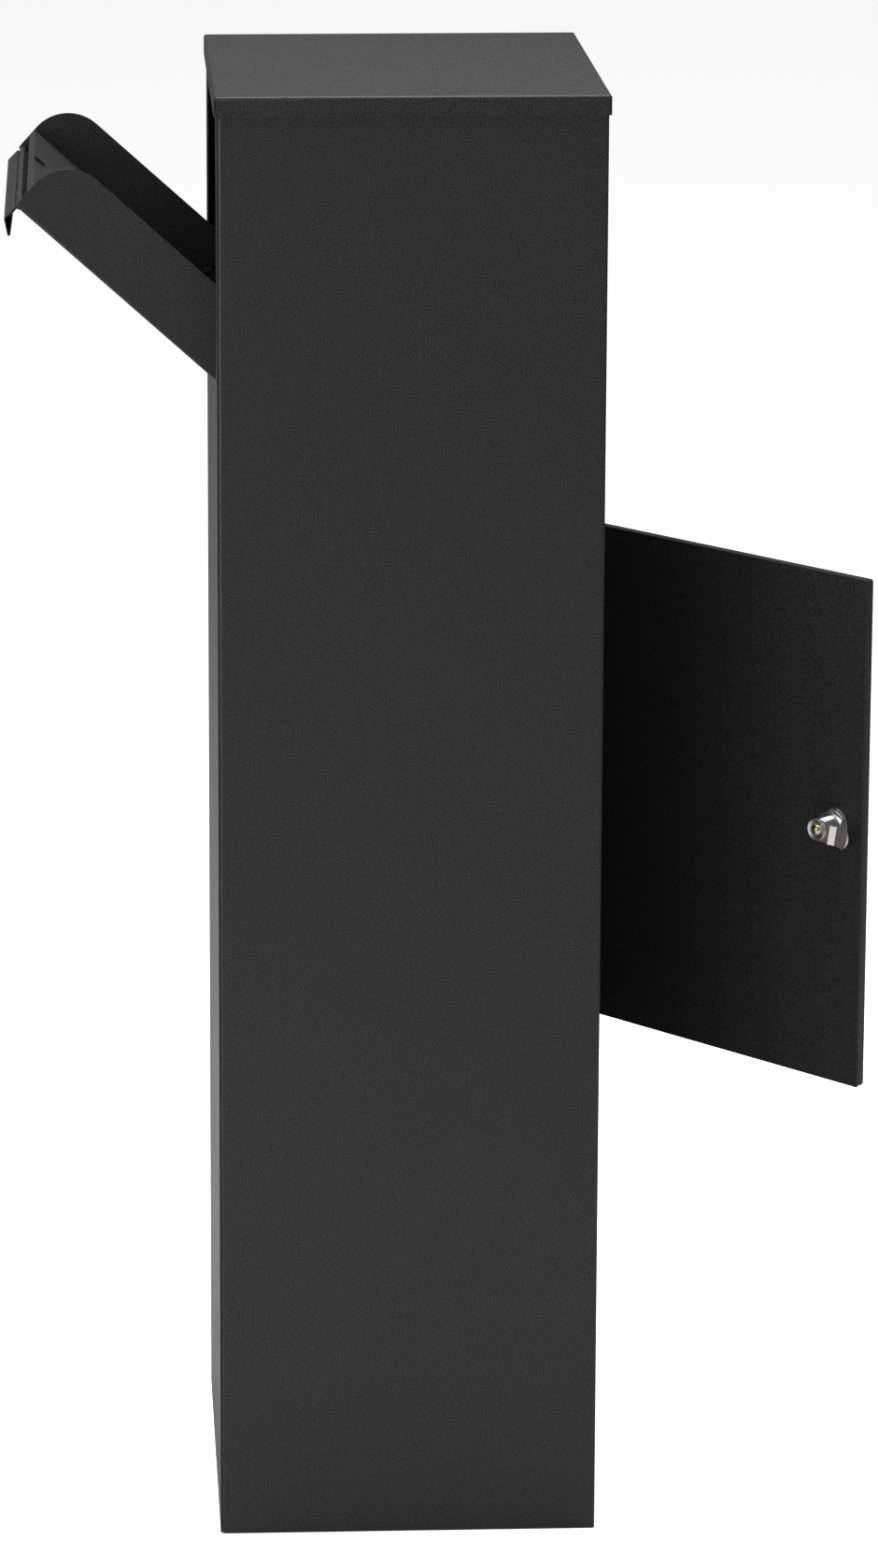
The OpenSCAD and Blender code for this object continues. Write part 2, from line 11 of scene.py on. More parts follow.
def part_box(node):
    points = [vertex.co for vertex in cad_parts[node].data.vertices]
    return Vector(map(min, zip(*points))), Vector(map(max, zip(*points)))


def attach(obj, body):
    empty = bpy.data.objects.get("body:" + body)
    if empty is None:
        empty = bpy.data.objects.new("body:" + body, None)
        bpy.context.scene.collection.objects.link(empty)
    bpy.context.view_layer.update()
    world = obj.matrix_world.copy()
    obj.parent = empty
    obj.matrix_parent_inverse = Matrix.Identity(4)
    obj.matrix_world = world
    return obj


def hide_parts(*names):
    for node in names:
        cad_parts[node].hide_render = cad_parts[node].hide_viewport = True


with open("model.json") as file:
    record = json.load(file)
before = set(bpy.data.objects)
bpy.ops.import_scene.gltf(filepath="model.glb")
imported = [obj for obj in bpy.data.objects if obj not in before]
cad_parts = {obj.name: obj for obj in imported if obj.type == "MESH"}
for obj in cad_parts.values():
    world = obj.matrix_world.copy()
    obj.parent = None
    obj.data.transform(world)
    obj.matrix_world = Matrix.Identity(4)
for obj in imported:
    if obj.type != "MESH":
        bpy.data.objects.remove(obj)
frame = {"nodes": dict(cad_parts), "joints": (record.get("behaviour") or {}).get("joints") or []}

MM = 0.001
scene = bpy.context.scene
nodes = frame["nodes"]
joints = {j["name"]: j for j in frame["joints"]}
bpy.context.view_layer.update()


# ---- Camera ----
# A long lens set rather above head height, nearly square to the side with
# the lock, looking down. A fall and shift of the lens set the whole box in the frame.
camera = bpy.data.objects.new("camera", bpy.data.cameras.new("camera"))
scene.collection.objects.link(camera)
scene.camera = camera
camera_yaw = math.radians(2.27)
camera_pitch = math.radians(12.11)
looking = Vector((
    -math.cos(camera_yaw) * math.cos(camera_pitch),
    math.sin(camera_yaw) * math.cos(camera_pitch),
    -math.sin(camera_pitch),
))
camera.location = (4.7814, -0.2632, 1.9158)
camera.rotation_mode = "QUATERNION"
camera.rotation_quaternion = looking.to_track_quat("-Z", "Y")
camera.data.sensor_width = 36
camera.data.lens = 133.77
camera.data.shift_x = 0.081
camera.data.shift_y = -0.21
camera.data.clip_start = 0.05
camera.data.clip_end = 60


# ---- Floor ----
# A plain seamless studio floor in matt white paint, big enough to run out of every view. The
# camera sees it lit up to white; the box is lit by the paint alone.
def srgb(code):
    """The linear colour, with alpha, of an sRGB hex code such as "1d1d1e"."""
    parts = [int(code[i:i + 2], 16) / 255 for i in (0, 2, 4)]
    return (*[c / 12.92 if c <= 0.04045 else ((c + 0.055) / 1.055) ** 2.4 for c in parts], 1)


def add(tree, kind, links={}, values={}, **properties):
    """Adds a node, with {input: socket} links, {input: value} values and its own properties."""
    node = tree.nodes.new(kind)
    for key, value in properties.items():
        setattr(node, key, value)
    for key, value in values.items():
        node.inputs[key].default_value = value
    for key, socket in links.items():
        tree.links.new(node.inputs[key], socket)
    return node


def new_material(name):
    """An empty node material: (material, its tree, its output node)."""
    material = bpy.data.materials.new(name)
    material.use_nodes = True
    tree = material.node_tree
    tree.nodes.clear()
    return material, tree, tree.nodes.new("ShaderNodeOutputMaterial")


studio_paint, tree, output = new_material("matt_white_floor_paint")
place = add(tree, "ShaderNodeTexCoord").outputs["Object"]
roller = add(tree, "ShaderNodeTexNoise", {"Vector": place}, {"Scale": 1 / (5 * MM), "Detail": 3})
relief = add(tree, "ShaderNodeBump", {"Height": roller.outputs["Fac"]},
             {"Strength": 0.08, "Distance": 0.4 * MM})
seen = add(tree, "ShaderNodeLightPath").outputs["Is Camera Ray"]
glow = add(tree, "ShaderNodeMath", {0: seen}, {1: 0.8}, operation="MULTIPLY")
paint = add(tree, "ShaderNodeBsdfPrincipled",
            {"Normal": relief.outputs["Normal"], "Emission Strength": glow.outputs[0]},
            {"Base Color": srgb("f4f4f3"), "Roughness": 0.75, "Emission Color": (1, 1, 1, 1)})
tree.links.new(output.inputs["Surface"], paint.outputs["BSDF"])

bpy.ops.mesh.primitive_plane_add(size=30)
floor = bpy.context.object
floor.name = "studio_floor"
floor.location.z = -0.2 * MM
floor.data.materials.append(studio_paint)


# ---- Studio light ----
# A dim white cove all round, one wide softbox overhead, one past the front of the box that
# rakes along it, and one at the camera's side that also reaches the open door.
scene.view_settings.view_transform = "Standard"
world = bpy.data.worlds.new("studio")
scene.world = world
world.use_nodes = True
tree = world.node_tree
tree.nodes.clear()
ray = add(tree, "ShaderNodeLightPath").outputs["Is Camera Ray"]
cove = add(tree, "ShaderNodeBackground", {}, {"Color": (1, 1, 1, 1), "Strength": 0.13})
backdrop = add(tree, "ShaderNodeBackground", {}, {"Color": (1, 1, 1, 1), "Strength": 1.0})
seen = add(tree, "ShaderNodeMixShader", {0: ray, 1: cove.outputs[0], 2: backdrop.outputs[0]})
add(tree, "ShaderNodeOutputWorld", {"Surface": seen.outputs[0]})


def softbox(name, at, aim, width, height, power):
    """A rectangular softbox at one point, facing another."""
    lamp = bpy.data.lights.new(name, "AREA")
    lamp.shape = "RECTANGLE"
    lamp.size = width
    lamp.size_y = height
    lamp.energy = power
    box = bpy.data.objects.new(name, lamp)
    scene.collection.objects.link(box)
    box.location = at
    box.rotation_euler = (Vector(aim) - Vector(at)).to_track_quat("-Z", "Y").to_euler()


softbox("softbox_overhead", (-0.2, 0.1, 3.4), (0, 0, 0.8), 2.4, 2.4, 125)
softbox("softbox_front", (-0.6, -3.4, 1.5), (0, 0, 0.8), 1.8, 2.4, 85)
softbox("softbox_camera_side", (3.2, -1.9, 1.8), (0, 0.3, 0.6), 2.0, 2.0, 40)


# ---- Black powder coat ----
# Polyester powder, sprayed and baked on steel: a dull black film with a fine orange-peel
# texture that scatters small glints, and more glints painted into its colour as lighter
# specks on the grain's high points. Its grain is about 0.8 mm, drawn at 1.5 mm so it shows.
def powder_coat(name, dark, light, roughness):
    material, tree, output = new_material(name)
    place = add(tree, "ShaderNodeTexCoord").outputs["Object"]
    grain = add(tree, "ShaderNodeTexNoise", {"Vector": place}, {"Scale": 1 / (1.5 * MM), "Detail": 2})
    peel = add(tree, "ShaderNodeTexNoise", {"Vector": place}, {"Scale": 1 / (5 * MM), "Detail": 1})
    cloud = add(tree, "ShaderNodeTexNoise", {"Vector": place}, {"Scale": 1 / (70 * MM), "Detail": 3})
    height = add(tree, "ShaderNodeMath", {0: grain.outputs["Fac"], 1: peel.outputs["Fac"]})
    fine = add(tree, "ShaderNodeBump", {"Height": height.outputs[0]},
               {"Strength": 0.75, "Distance": 0.09 * MM})
    # Painted glints: the colour turns from dark to light on the grain's high points.
    painted_glint = add(tree, "ShaderNodeMapRange", {"Value": grain.outputs["Fac"]},
                {"From Min": 0.34, "From Max": 0.72})
    tone = add(tree, "ShaderNodeMix", {0: painted_glint.outputs[0]}, {6: srgb(dark), 7: srgb(light)},
               data_type="RGBA")
    gloss = add(tree, "ShaderNodeMapRange", {"Value": cloud.outputs["Fac"]},
                {"To Min": roughness - 0.05, "To Max": roughness + 0.05})
    film = add(tree, "ShaderNodeBsdfPrincipled",
               {"Base Color": tone.outputs[2], "Roughness": gloss.outputs[0], "Normal": fine.outputs[0]},
               {"IOR": 1.5, "Specular IOR Level": 0.32})
    tree.links.new(output.inputs["Surface"], film.outputs["BSDF"])
    return material


# The second colour is the painted glint on the grain's high points.
black_coat = powder_coat("powder_coated_steel_black", "1b1b1c", "383839", 0.5)


# ---- Cabinet sheets ----
# Folded 1.5 mm steel: two sides with returns front and rear, a front with the hopper's
# opening, two rear sheets, the door's stop frame and the floor tray, all welded and coated.
def soften(node, width, material, angle=32):
    """Gives a CAD piece its finish, and rounds its cut edges as deburring and paint do."""
    piece = nodes[node]
    piece.data.materials.clear()
    piece.data.materials.append(material)
    weld = piece.modifiers.new("join", "WELD")
    weld.merge_threshold = 0.002 * MM
    flat = piece.modifiers.new("flats", "DECIMATE")
    flat.decimate_type = "DISSOLVE"
    flat.angle_limit = math.radians(0.3)
    bevel = piece.modifiers.new("edges", "BEVEL")
    bevel.width = width
    bevel.segments = 2
    bevel.angle_limit = math.radians(angle)
    bevel.use_clamp_overlap = True
    bevel.harden_normals = True
    return piece


for node in ("side_panel_right", "side_panel_left", "front_panel", "rear_panel_upper",
             "rear_panel_lower", "door_frame", "base_plate"):
    soften(node, 0.3 * MM, black_coat)


# ---- Cap ----
# One sheet with four turned-down lips. The corners are notched before folding, so each shows
# a narrow open seam. It is held from inside by weld studs through two welded angles.
soften("top_cap", 0.25 * MM, black_coat, 40)
soften("cap_brackets", 0.3 * MM, black_coat)


# ---- Cap studs and nuts ----
# Steel weld studs with a rolled M5 thread and chamfered hexagon nuts, bright zinc plated: a
# cool grey metal with faint drawn streaks.
def plated(name, code, roughness, streak, tint=None, haze=0.06):
    """A plated metal: colour, mean roughness, streak size in metres, and a second colour."""
    material, tree, output = new_material(name)
    place = add(tree, "ShaderNodeTexCoord").outputs["Object"]
    cloud = add(tree, "ShaderNodeTexNoise", {"Vector": place}, {"Scale": 1 / (6 * MM), "Detail": 3})
    scratch = add(tree, "ShaderNodeTexNoise", {"Vector": place}, {"Scale": 1 / streak, "Detail": 4})
    tone = add(tree, "ShaderNodeMix", {0: cloud.outputs["Fac"]}, {6: srgb(code), 7: srgb(tint or code)},
               data_type="RGBA")
    rough = add(tree, "ShaderNodeMapRange", {"Value": scratch.outputs["Fac"]},
                {"To Min": roughness - haze, "To Max": roughness + haze})
    relief = add(tree, "ShaderNodeBump", {"Height": scratch.outputs["Fac"]},
                 {"Strength": 0.12, "Distance": 0.02 * MM})
    metal = add(tree, "ShaderNodeBsdfPrincipled",
                {"Base Color": tone.outputs[2], "Roughness": rough.outputs[0], "Normal": relief.outputs[0]},
                {"Metallic": 1.0})
    tree.links.new(output.inputs["Surface"], metal.outputs["BSDF"])
    return material


zinc_plate = plated("zinc_plated_steel", "b4b7bb", 0.32, 0.5 * MM, "a4a7ac")


def islands(node):
    """The separate lumps of a CAD node, each as its (lowest, highest) corner."""
    work = bmesh.new()
    work.from_mesh(nodes[node].data)
    bmesh.ops.remove_doubles(work, verts=work.verts, dist=0.002 * MM)
    left = set(work.verts)
    found = []
    while left:
        lump = {left.pop()}
        edge_of_lump = set(lump)
        while edge_of_lump:
            near = {e.other_vert(v) for v in edge_of_lump for e in v.link_edges} - lump
            lump |= near
            edge_of_lump = near
        left -= lump
        low = Vector([min(v.co[i] for v in lump) for i in range(3)])
        high = Vector([max(v.co[i] for v in lump) for i in range(3)])
        found.append((low, high))
    work.free()
    return sorted(found, key=lambda pair: tuple(round(c, 5) for c in pair[0]))


def piece_from(work, name, material, body, replaced=(), place=Matrix(), sharp=35):
    """Closes a bmesh into a named piece that rides on a body and stands for CAD nodes."""
    bmesh.ops.recalc_face_normals(work, faces=work.faces)
    mesh = bpy.data.meshes.new(name)
    work.to_mesh(mesh)
    work.free()
    mesh.transform(place)
    mesh.polygons.foreach_set("use_smooth", [True] * len(mesh.polygons))
    mesh.set_sharp_from_angle(angle=math.radians(sharp))
    mesh.materials.append(material)
    piece = bpy.data.objects.new(name, mesh)
    scene.collection.objects.link(piece)
    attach(piece, body)
    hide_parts(*replaced)
    return piece


def ring(work, radius, z, count):
    """A ring of points about Z. radius is a number or a function of the angle; so is z."""
    points = []
    for i in range(count):
        a = 2 * math.pi * i / count
        r_here = radius(a) if callable(radius) else radius
        z_here = z(a) if callable(z) else z
        points.append(work.verts.new((r_here * math.cos(a), r_here * math.sin(a), z_here)))
    return points


def skin(work, rings, closed=False):
    """Joins rings into a surface. The ends are capped, or joined to each other if closed."""
    pairs = list(zip(rings, rings[1:] + rings[:1])) if closed else list(zip(rings, rings[1:]))
    for one, two in pairs:
        for i in range(len(one)):
            j = (i + 1) % len(one)
            work.faces.new((one[i], one[j], two[j], two[i]))
    if not closed:
        work.faces.new(rings[0][::-1])
        work.faces.new(rings[-1])


def thread_rings(work, radius, depth, pitch, z0, z1, count=48):
    """Rings of a rolled thread from z0 to z1: a shallow V that climbs one pitch a turn."""
    steps = max(4, round((z1 - z0) / pitch * 4))
    rings = []
    for k in range(steps + 1):
        z = z0 + (z1 - z0) * k / steps
        fade = min(1, (z - z0) / pitch, (z1 - z) / pitch)

        def groove(a, z=z, fade=fade):
            phase = (z / pitch - a / (2 * math.pi)) % 1
            return radius - depth * (fade * 2 * abs(phase - 0.5) + (1 - fade) * 1)

        rings.append(ring(work, groove, z, count))
    return rings


def hex_nut(work, flats, height, bore, z0=0.0, count=96):
    """A hexagon nut with its corners turned down 30 degrees on both faces, and a bored hole."""
    edge = 0.47 * flats

    def hexagon(a):
        return flats / 2 / math.cos((a % (math.pi / 3)) - math.pi / 6)

    def drop(a):
        return max(0.0, hexagon(a) - edge) * math.tan(math.radians(30))

    lip = 0.3 * MM
    rings = [
        ring(work, bore, z0 + lip, count), ring(work, bore + lip, z0, count),
        ring(work, edge, z0, count), ring(work, hexagon, lambda a: z0 + drop(a), count),
        ring(work, hexagon, lambda a: z0 + height - drop(a), count),
        ring(work, edge, z0 + height, count), ring(work, bore + lip, z0 + height, count),
        ring(work, bore, z0 + height - lip, count),
    ]
    skin(work, rings, closed=True)


def to_z(middle, low_z):
    return Matrix.Translation((middle.x, middle.y, low_z))


for number, (low, high) in enumerate(islands("cap_studs"), 1):
    work = bmesh.new()
    core = (high.x - low.x) / 2
    length = high.z - low.z
    rings = [ring(work, core * 0.7, 0, 32)]
    rings += thread_rings(work, core, 0.3 * MM, 0.8 * MM, 0.4 * MM, length - 1.5 * MM, 32)
    rings += [ring(work, core, length - 1.2 * MM, 32), ring(work, core, length, 32)]
    skin(work, rings)
    piece_from(work, f"cap_stud_{number}", zinc_plate, "cabinet", ["cap_studs"],
               to_z((low + high) / 2, low.z))
for number, (low, high) in enumerate(islands("cap_nuts"), 1):
    work = bmesh.new()
    hex_nut(work, 8 * MM, high.z - low.z, 2.55 * MM, count=48)
    piece_from(work, f"cap_nut_{number}", zinc_plate, "cabinet", ["cap_nuts"],
               to_z((low + high) / 2, low.z))


# ---- Inside of the cabinet ----
# A folded rail behind the front carries the hopper; below it a sloping plate keeps hands out.
# A keeper inside the lock side takes the cam. All welded in and coated with the rest.
for node in ("hinge_rail", "security_baffle", "hopper_rest_brackets", "lock_keeper"):
    soften(node, 0.25 * MM, black_coat)


# ---- Rubber pads ----
# Moulded rubber discs, glued on, that the hopper and door come to rest on: matt, nearly
# black, with a soft domed edge and faint mould bloom.
rubber, tree, output = new_material("moulded_rubber_black")
place = add(tree, "ShaderNodeTexCoord").outputs["Object"]
bloom = add(tree, "ShaderNodeTexNoise", {"Vector": place}, {"Scale": 1 / (2 * MM), "Detail": 4})
shade = add(tree, "ShaderNodeMix", {0: bloom.outputs["Fac"]}, {6: srgb("161617"), 7: srgb("232324")},
            data_type="RGBA")
relief = add(tree, "ShaderNodeBump", {"Height": bloom.outputs["Fac"]},
             {"Strength": 0.2, "Distance": 0.05 * MM})
compound = add(tree, "ShaderNodeBsdfPrincipled",
               {"Base Color": shade.outputs[2], "Normal": relief.outputs[0]},
               {"Roughness": 0.78, "IOR": 1.52})
tree.links.new(output.inputs["Surface"], compound.outputs["BSDF"])

UP = Matrix.Rotation(0, 4, "X")
REARWARD = Matrix.Rotation(math.radians(-90), 4, "X")
for node, stem, turn, across, along in (
        ("hopper_rest_pads", "hopper_rest_pad", UP, 0, 2),
        ("hopper_stop_pads", "hopper_stop_pad", REARWARD, 0, 1),
        ("door_bumpers", "door_bumper", REARWARD, 0, 1)):
    for number, (low, high) in enumerate(islands(node), 1):
        radius = (high[across] - low[across]) / 2
        height = high[along] - low[along]
        base = (low + high) / 2
        base[along] = low[along]
        work = bmesh.new()
        rings = [ring(work, radius, 0, 40), ring(work, radius, height * 0.5, 40)]
        for step in range(1, 6):
            a = math.radians(90 * step / 5)
            rings.append(ring(work, radius - 0.9 * MM * (1 - math.cos(a)),
                              height * (0.5 + 0.5 * math.sin(a)), 40))
        skin(work, rings)
        piece_from(work, f"{stem}_{number}", rubber, "cabinet", [node],
                   Matrix.Translation(base) @ turn)


# ---- Hopper ----
# A front and two wings folded from one sheet, with the letter slot punched through, and a
# second sheet as the floor. Blanked edges, coated. A parcel is laid on it while it is open.
for node in ("hopper_shell", "hopper_floor"):
    soften(node, 0.2 * MM, black_coat, 40)
for node in ("stop_bar_right", "stop_bar_left"):
    soften(node, 0.3 * MM, black_coat)


# ---- Hopper hinge, flap hinge and door hinge ----
# Continuous piano hinges, rolled from 1.1 mm steel strip and coated with the box, on plain
# steel pins whose cut ends stay bright.
for node in ("hopper_hinge_fixed_leaf", "hopper_hinge_moving_leaf", "flap_hinge_fixed_leaf",
             "flap_hinge_moving_leaf", "door_hinge_fixed_leaf", "door_hinge_moving_leaf"):
    soften(node, 0.14 * MM, black_coat, 45)
for node in ("hopper_hinge_pin", "flap_hinge_pin", "door_hinge_pin"):
    soften(node, 0.25 * MM, zinc_plate)


# ---- Stop bar rivets ----
# Blind rivets with a domed head and the dimple of the broken-off mandrel, under the coat.
for number, (low, high) in enumerate(islands("stop_bar_rivets"), 1):
    middle = (low + high) / 2
    side = 1 if middle.x > 0 else -1
    tall = high.x - low.x
    head = (high.z - low.z) / 2
    work = bmesh.new()
    rings = [ring(work, 2 * MM, 0, 32), ring(work, 2 * MM, tall - 1 * MM, 32),
             ring(work, head, tall - 1 * MM, 32)]
    for step in range(1, 6):
        a = math.radians(90 * step / 6)
        rings.append(ring(work, head * math.cos(a) + 0.1 * MM, tall - 1 * MM + 1 * MM * math.sin(a), 32))
    rings += [ring(work, 0.8 * MM, tall, 32), ring(work, 0.7 * MM, tall - 0.5 * MM, 32)]
    skin(work, rings)
    turn = Matrix.Rotation(math.radians(-90 * side), 4, "Y")
    piece_from(work, f"stop_bar_rivet_{number}", black_coat, "hopper", ["stop_bar_rivets"],
               Matrix.Translation((high.x if side > 0 else low.x, middle.y, middle.z)) @ turn)

# The stop pins beside them are turned steel with a black zinc passivate.
black_zinc = plated("black_passivated_zinc", "3c3d40", 0.42, 0.5 * MM, "303134")
soften("stop_studs", 0.5 * MM, black_zinc)


# ---- Letter flap ----
# A 1 mm sheet folded into a hollow three-sided pull the length of the hopper, hanging from
# its own hinge. The folds are soft, and the near end shows the hollow.
def folded_sheet(work, corners, thickness, radius, half_length):
    """A sheet bent through 2D corners (y, z), extruded along X to both sides."""
    line = [Vector(corners[0])]
    for before, here, after in zip(corners, corners[1:], corners[2:]):
        before, here, after = Vector(before), Vector(here), Vector(after)
        back = (before - here).normalized()
        on = (after - here).normalized()
        half = back.angle(on) / 2
        reach = radius / math.tan(half)
        centre = here + (back + on).normalized() * (radius / math.sin(half))
        start = here + back * reach - centre
        finish = here + on * reach - centre
        sweep = start.angle_signed(finish)
        for step in range(9):
            a = -sweep * step / 8
            line.append(centre + Vector((start.x * math.cos(a) - start.y * math.sin(a),
                                         start.x * math.sin(a) + start.y * math.cos(a))))
    line.append(Vector(corners[-1]))
    left, right = [], []
    for i, point in enumerate(line):
        along = (line[min(i + 1, len(line) - 1)] - line[max(i - 1, 0)]).normalized()
        out = Vector((-along.y, along.x)) * thickness / 2
        left.append(point + out)
        right.append(point - out)
    loop = left + right[::-1]
    count = len(line)
    near = [work.verts.new((half_length, p.x, p.y)) for p in loop]
    far = [work.verts.new((-half_length, p.x, p.y)) for p in loop]
    total = len(loop)
    for i in range(total):
        j = (i + 1) % total
        work.faces.new((near[i], near[j], far[j], far[i]))
    for i in range(count - 1):
        for side in (near, far):
            work.faces.new((side[i], side[i + 1], side[total - 2 - i], side[total - 1 - i]))


hopper_open = -math.radians(joints["hopper_hinge"]["range_deg"][0])
flap_pin = Vector(joints["flap_hinge"]["pos_m"])
flap_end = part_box("mail_flap")[1].x
work = bmesh.new()
folded_sheet(work, [(-3.4 * MM, 2.2 * MM), (-15.3 * MM, 2.6 * MM), (-25.9 * MM, -11.6 * MM),
                    (-9.6 * MM, -0.6 * MM)], 1 * MM, 0.8 * MM, flap_end)
flap = piece_from(work, "letter_flap", black_coat, "flap", ["mail_flap"],
                  Matrix.Translation((0, flap_pin.y, flap_pin.z))
                  @ Matrix.Rotation(hopper_open, 4, "X"), 50)


def round_edges(piece, width, angle=40, segments=2):
    bevel = piece.modifiers.new("edges", "BEVEL")
    bevel.width = width
    bevel.segments = segments
    bevel.angle_limit = math.radians(angle)
    bevel.harden_normals = True


round_edges(flap, 0.2 * MM, 50)


# ---- Door ----
# A shallow tray folded from 1.5 mm steel, 3 mm round on its outer folds, closed on the inside
# by a flat sheet with a fine seam all round. A hat section, out of sight, keeps it flat.
door_joint = joints["door_hinge"]
door_turn = (Matrix.Translation(door_joint["pos_m"])
             @ Matrix.Rotation(-math.radians(door_joint["range_deg"][0]), 4, "Z")
             @ Matrix.Translation(-Vector(door_joint["pos_m"])))
to_shut = door_turn.inverted()


def shut_box(node):
    """A door node's lowest and highest corner, with the door swung shut."""
    points = [to_shut @ v.co for v in nodes[node].data.vertices]
    return (Vector([min(p[i] for p in points) for i in range(3)]),
            Vector([max(p[i] for p in points) for i in range(3)]))


skin_low, skin_high = shut_box("door_outer_skin")
sheet = 1.5 * MM
fold_r = 3 * MM
corner_r = 3 * MM


def tray_outline(work, inset, y):
    """The door's outline, drawn in by inset, at depth y, as a loop of points."""
    r_here = max(corner_r - inset, 0.3 * MM)
    x0, x1 = skin_low.x + inset, skin_high.x - inset
    z0, z1 = skin_low.z + inset, skin_high.z - inset
    loop = []
    for cx, cz, turn in ((x1 - r_here, z1 - r_here, 0), (x0 + r_here, z1 - r_here, 90),
                         (x0 + r_here, z0 + r_here, 180), (x1 - r_here, z0 + r_here, 270)):
        for step in range(9):
            a = math.radians(turn + 90 * step / 8)
            loop.append(work.verts.new((cx + r_here * math.cos(a), y, cz + r_here * math.sin(a))))
    return loop


work = bmesh.new()
flat_edge = 0.4 * MM
loops = [tray_outline(work, fold_r + flat_edge, skin_high.y)]
for step in range(7):
    a = math.radians(90 * step / 6)
    loops.append(tray_outline(work, fold_r * (1 - math.sin(a)), skin_high.y - fold_r * (1 - math.cos(a))))
loops.append(tray_outline(work, 0, skin_low.y))
loops.append(tray_outline(work, sheet, skin_low.y))
inner_r = fold_r - sheet
for step in range(7):
    a = math.radians(90 * step / 6)
    loops.append(tray_outline(work, sheet + inner_r * (1 - math.cos(a)),
                              skin_high.y - sheet - inner_r * (1 - math.sin(a))))
loops.append(tray_outline(work, sheet + inner_r + flat_edge, skin_high.y - sheet))
for one, two in zip(loops, loops[1:]):
    for i in range(len(one)):
        j = (i + 1) % len(one)
        work.faces.new((one[i], one[j], two[j], two[i]))


def annulus_fill(work, loop, centre, radius):
    """Fills a loop with faces that leave a round hole, and returns the hole's ring."""
    hole = []
    for vert in loop:
        out = vert.co - centre
        out.y = 0
        out.normalize()
        spot = centre + out * radius
        hole.append(work.verts.new((spot.x, vert.co.y, spot.z)))
    for i in range(len(loop)):
        j = (i + 1) % len(loop)
        work.faces.new((loop[i], loop[j], hole[j], hole[i]))
    return hole


lock_joint = joints["lock_turn"]
lock_spot = to_shut @ Vector(lock_joint["pos_m"])
hole_r = 9.55 * MM
outer_hole = annulus_fill(work, loops[0], lock_spot, hole_r)
inner_hole = annulus_fill(work, loops[-1], lock_spot, hole_r)
for i in range(len(outer_hole)):
    j = (i + 1) % len(outer_hole)
    work.faces.new((outer_hole[i], outer_hole[j], inner_hole[j], inner_hole[i]))
piece_from(work, "door_tray", black_coat, "door", ["door_outer_skin"], door_turn, 30)

soften("door_inner_panel", 0.25 * MM, black_coat)
soften("door_stiffener", 0.2 * MM, zinc_plate)


# ---- Cam lock barrel and nut ----
# A die-cast barrel with a fine 19 mm thread and a round face outside the door, pulled tight
# by a steel hexagon nut and a thin plain washer. All nickel plated and polished.
nickel = plated("polished_nickel_plate", "dedcd8", 0.38, 0.4 * MM, "cdcbc8", 0.07)
die_cast = plated("nickel_plated_zinc_casting", "c4c5c8", 0.24, 0.8 * MM, "b2b4b8")
outward = Vector(lock_joint["axis"]).normalized()
edgeward = Vector((outward.y, -outward.x, 0))
downward = Vector((0, 0, -1))
lock_frame = Matrix.Translation(lock_joint["pos_m"]) @ Matrix((
    (edgeward.x, downward.x, outward.x, 0), (edgeward.y, downward.y, outward.y, 0),
    (edgeward.z, downward.z, outward.z, 0), (0, 0, 0, 1)))
to_lock = lock_frame.inverted()


def lock_span(node):
    """How far a node reaches along the lock, outwards from the cam's hub: (near, far)."""
    depths = [(to_lock @ v.co).z for v in nodes[node].data.vertices]
    return min(depths), max(depths)


body_in, body_out = lock_span("lock_body")
nut_in, nut_out = lock_span("lock_nut")
thread_r = 9.5 * MM
bore = 6.55 * MM
bezel = 2.5 * MM
work = bmesh.new()
rings = [ring(work, bore, body_in, 48), ring(work, thread_r - 0.9 * MM, body_in, 48)]
rings += thread_rings(work, thread_r, 0.45 * MM, 1 * MM, body_in + 0.5 * MM, nut_out)
rings += [ring(work, thread_r - 0.05 * MM, nut_out + 0.3 * MM, 48),
          ring(work, thread_r - 0.05 * MM, body_out - bezel, 48),
          ring(work, 11.7 * MM, body_out - bezel, 48), ring(work, 12 * MM, body_out - bezel + 0.3 * MM, 48)]
for step in range(1, 6):
    a = math.radians(90 * step / 5)
    rings.append(ring(work, 11 * MM + 1 * MM * math.cos(a), body_out - 1.2 * MM + 1.2 * MM * math.sin(a), 48))
rings += [ring(work, 8 * MM, body_out, 48), ring(work, 7.6 * MM, body_out - 0.35 * MM, 48),
          ring(work, bore + 0.3 * MM, body_out - 0.35 * MM, 48), ring(work, bore, body_out - 0.6 * MM, 48)]
skin(work, rings, closed=True)
piece_from(work, "lock_barrel", die_cast, "door", ["lock_body"], lock_frame, 40)

work = bmesh.new()
hex_nut(work, 25 * MM, nut_out - nut_in, thread_r + 0.05 * MM, nut_in)
nut_turn = Matrix.Rotation(math.radians(30), 4, "Z")
piece_from(work, "lock_nut_hexagon", nickel, "door", ["lock_nut"], lock_frame @ nut_turn, 25)
soften("lock_washer", 0.2 * MM, zinc_plate)


# ---- Lock plug ----
# The turned key cylinder: its outer end has the keyway in a shallow dished face, its inner
# end a square tang for the cam.
soften("lock_plug", 0.25 * MM, die_cast, 40)


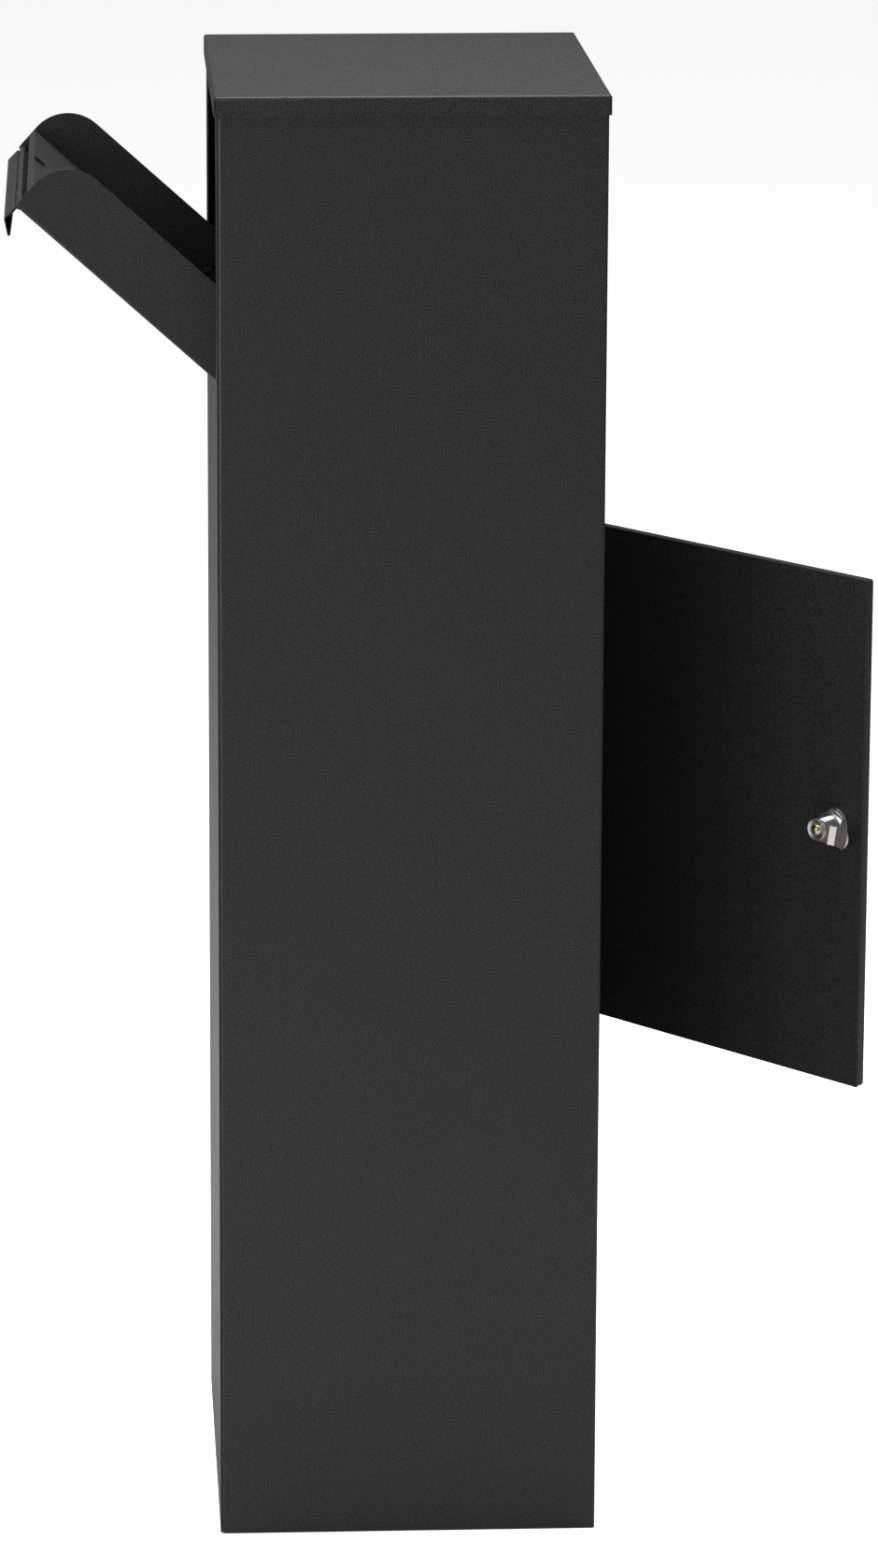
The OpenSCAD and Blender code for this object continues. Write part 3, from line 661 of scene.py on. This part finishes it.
# ---- Cam ----
# A 2.2 mm steel strip blanked with a round hub and a bowed end, cranked towards the door so
# that it reaches behind the keeper, then tumbled and nickel plated to a soft sheen.
cam_angle = math.radians(90 - lock_joint["range_deg"][1])
cam_near, cam_far = lock_span("lock_cam")
cam_t = 2.2 * MM
hub_r = 9 * MM
half_w = 8.5 * MM
end_r = 13 * MM
end_x = 17.5 * MM
straight = end_x + math.sqrt(end_r ** 2 - half_w ** 2)
low_z = cam_near + cam_t / 2
high_z = cam_far - cam_t / 2
crank_from = 13.25 * MM
crank_to = 17.75 * MM
path = [(-hub_r, low_z), (crank_from, low_z), (crank_to, high_z), (end_x + end_r, high_z)]
bend_r = 2.2 * MM
line = []
for k, here in enumerate(path):
    here = Vector(here)
    if k in (0, len(path) - 1):
        line.append(here)
        continue
    back = (Vector(path[k - 1]) - here).normalized()
    on = (Vector(path[k + 1]) - here).normalized()
    half = back.angle(on) / 2
    for step in range(9):
        t = step / 8
        p0 = here + back * (bend_r / math.tan(half))
        p2 = here + on * (bend_r / math.tan(half))
        line.append(p0 * (1 - t) ** 2 + here * 2 * t * (1 - t) + p2 * t ** 2)


def cam_half_width(x):
    """Half the cam's width at x: a round hub, straight sides, and a bowed end."""
    if x < 0:
        return math.sqrt(max(hub_r ** 2 - x ** 2, 1e-12))
    if x > straight:
        return math.sqrt(max(end_r ** 2 - (x - end_x) ** 2, 1e-12))
    blend = min(1, x / (9 * MM))
    return hub_r + (half_w - hub_r) * (3 * blend ** 2 - 2 * blend ** 3)


stations = []
for a, b in zip(line, line[1:]):
    pieces_here = max(1, round((b - a).length / (0.8 * MM)))
    stations += [a + (b - a) * i / pieces_here for i in range(pieces_here)]
stations.append(line[-1])
hub_points = [Vector((-hub_r * math.cos(math.radians(90 * i / 12)), low_z)) for i in range(12)]
corner = math.asin((straight - end_x) / end_r)
end_points = [Vector((end_x + end_r * math.sin(corner + (math.pi / 2 - corner) * i / 12), high_z))
              for i in range(1, 13)]
stations = hub_points + [p for p in stations if 0 <= p.x <= straight] + end_points
across = 9
work = bmesh.new()
tops, bottoms = [], []
for i, p in enumerate(stations):
    along = (stations[min(i + 1, len(stations) - 1)] - stations[max(i - 1, 0)]).normalized()
    out = Vector((-along.y, along.x)) * cam_t / 2
    width = cam_half_width(p.x)
    for store, q in ((tops, p + out), (bottoms, p - out)):
        store.append([work.verts.new((q.x, width * (2 * k / (across - 1) - 1), q.y)) for k in range(across)])
for surface in (tops, bottoms):
    for one, two in zip(surface, surface[1:]):
        for k in range(across - 1):
            work.faces.new((one[k], one[k + 1], two[k + 1], two[k]))
for i in range(len(stations) - 1):
    for k in (0, across - 1):
        work.faces.new((tops[i][k], tops[i + 1][k], bottoms[i + 1][k], bottoms[i][k]))
for i in (0, len(stations) - 1):
    for k in range(across - 1):
        work.faces.new((tops[i][k], tops[i][k + 1], bottoms[i][k + 1], bottoms[i][k]))
bmesh.ops.remove_doubles(work, verts=work.verts, dist=0.004 * MM)
cam = piece_from(work, "cranked_cam", nickel, "cam", ["lock_cam"],
                 lock_frame @ Matrix.Rotation(cam_angle, 4, "Z"), 40)
round_edges(cam, 0.35 * MM, 45, 3)


# ---- Cam washer ----
# A turned steel washer with a raised rim, zinc plated, that spreads the screw's load.
washer_near, washer_far = lock_span("cam_washer")
work = bmesh.new()
rim = 9.2 * MM
rings = [ring(work, 1.8 * MM, washer_far, 64), ring(work, rim - 0.2 * MM, washer_far, 64),
         ring(work, rim, washer_far - 0.2 * MM, 64), ring(work, rim, washer_near + 0.25 * MM, 64),
         ring(work, rim - 0.25 * MM, washer_near, 64), ring(work, rim - 0.9 * MM, washer_near, 64),
         ring(work, rim - 1.5 * MM, washer_near + 0.5 * MM, 64),
         ring(work, 4.6 * MM, washer_near + 0.65 * MM, 64),
         ring(work, 4.2 * MM, washer_near, 64), ring(work, 1.8 * MM, washer_near, 64)]
skin(work, rings, closed=True)
piece_from(work, "cam_rim_washer", nickel, "cam", ["cam_washer"], lock_frame, 40)


# ---- Cam screw ----
# A cross-head machine screw in steel, yellow passivated: pale gold with a greenish bloom.
yellow_zinc = plated("yellow_passivated_zinc", "cdbb72", 0.2, 0.3 * MM, "b9b98a", 0.05)
soften("cam_screw", 0.12 * MM, yellow_zinc, 40)
